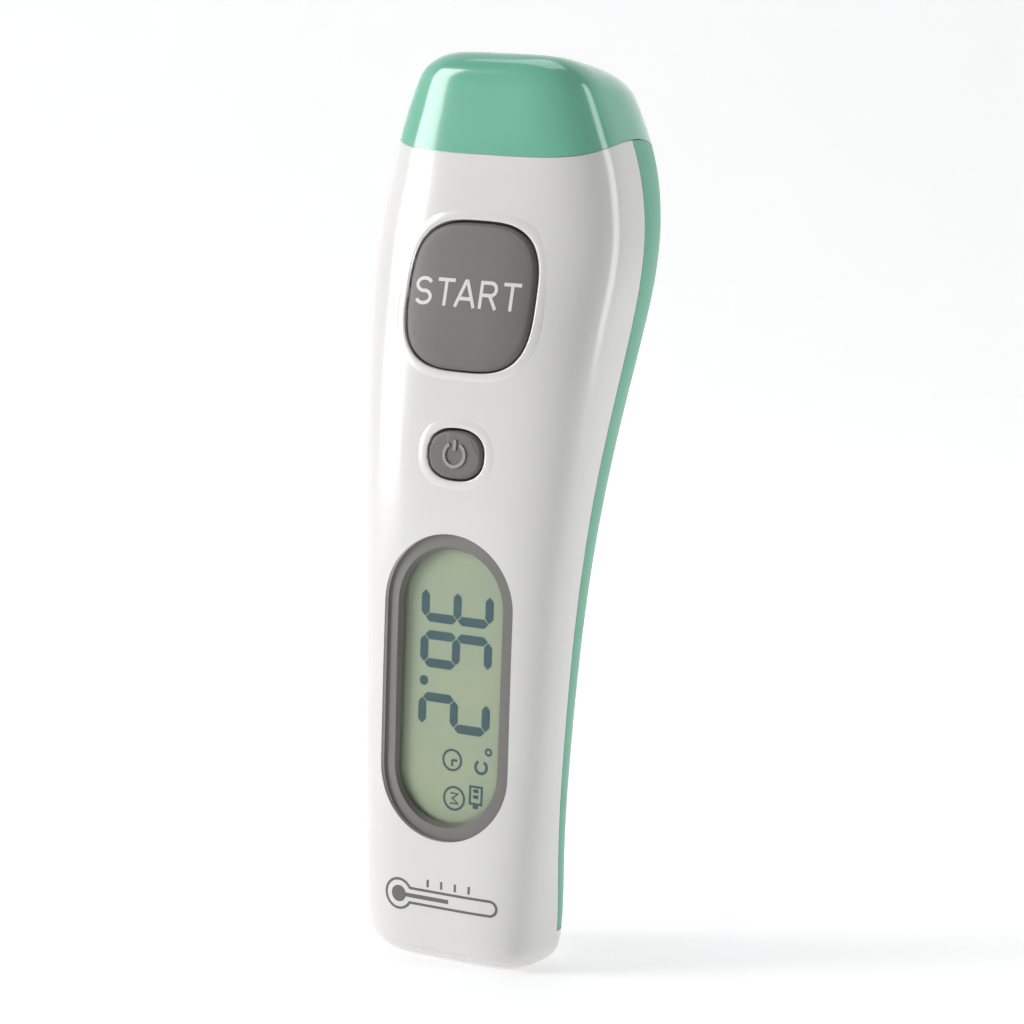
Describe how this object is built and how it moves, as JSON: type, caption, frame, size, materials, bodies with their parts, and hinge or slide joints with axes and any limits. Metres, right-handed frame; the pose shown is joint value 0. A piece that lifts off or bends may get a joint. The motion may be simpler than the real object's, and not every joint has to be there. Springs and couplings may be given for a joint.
{
  "type": "infrared thermometer",
  "caption": "Handheld no-touch infrared thermometer for a baby, a white and mint wand with a display, two buttons, a lift-off sensor cap and a battery door.",
  "frame": {"origin": "centre of the flat foot that the wand stands on", "axes": "+Z along the wand from the foot to the head, the display and the buttons face -Y, +X to the right seen from the front"},
  "size_m": [0.0462, 0.0438, 0.15],
  "materials": {
    "shell_white": "gloss",
    "shell_mint": "gloss",
    "button_grey": "fine matte grain",
    "bezel_grey": "satin",
    "clear_window": "clear polished",
    "lcd_face": "satin glass over a grey-green display",
    "nose_black": "matte",
    "tray_white": "matte",
    "board_green": "satin solder mask",
    "strip_rubber": "matte",
    "screw_steel": "bright zinc",
    "contact_nickel": "nickel plate",
    "cell_jacket": "printed jacket",
    "funnel_gold": "polished gold plate",
    "filter_glass": "polished silicon",
    "holder_metal": "turned",
    "part_ceramic": "fired ceramic",
    "ribbon_film": "satin film"
  },
  "bodies": {
    "housing": {"front_shell": "shell_white", "rear_shell": "shell_mint", "display_bezel": "bezel_grey", "display_window": "clear_window", "lcd_glass": "lcd_face", "sensor_nose": "nose_black", "buzzer": "nose_black", "start_switch": "nose_black", "power_switch": "nose_black", "controller_chip": "nose_black", "battery_tray": "tray_white", "lcd_reflector": "tray_white", "main_board": "board_green", "start_board": "board_green", "sensor_board": "board_green", "elastomer_strips": "strip_rubber", "shell_screws": "screw_steel", "crystal_can": "screw_steel", "thermopile_can": "screw_steel", "sensor_pins": "screw_steel", "cell_bridge": "contact_nickel", "contact_plate_left": "contact_nickel", "contact_plate_right": "contact_nickel", "spring_left": "contact_nickel", "spring_right": "contact_nickel", "cell_left": "cell_jacket", "cell_right": "cell_jacket", "sensor_funnel": "funnel_gold", "sensor_filter": "filter_glass", "sensor_holder": "holder_metal", "chip_capacitors": "part_ceramic", "backlight_leds": "part_ceramic", "link_ribbon": "ribbon_film", "sensor_ribbon": "ribbon_film"},
    "start_button": {"start_button": "button_grey"},
    "power_button": {"power_button": "button_grey"},
    "cap": {"protective_cap": "shell_mint"},
    "door": {"battery_door": "shell_mint"}
  },
  "joints": [
    {"name": "start_press", "type": "slide", "parent": "housing", "child": "start_button", "axis": [0, 0.9781, -0.2079], "range_m": [0, 0.0008], "stiffness_N_per_m": 1500},
    {"name": "power_press", "type": "slide", "parent": "housing", "child": "power_button", "axis": [0, 0.9969, -0.0785], "range_m": [0, 0.0006], "stiffness_N_per_m": 1500},
    {"name": "cap_lift", "type": "slide", "parent": "housing", "child": "cap", "axis": [0, 0, 1], "range_m": [0, 0.035]},
    {"name": "door_tilt", "type": "hinge", "parent": "housing", "child": "door", "pos_m": [0, 0.0098, 0.0063], "axis": [-1, 0, 0], "range_deg": [0, 40]}
  ]
}
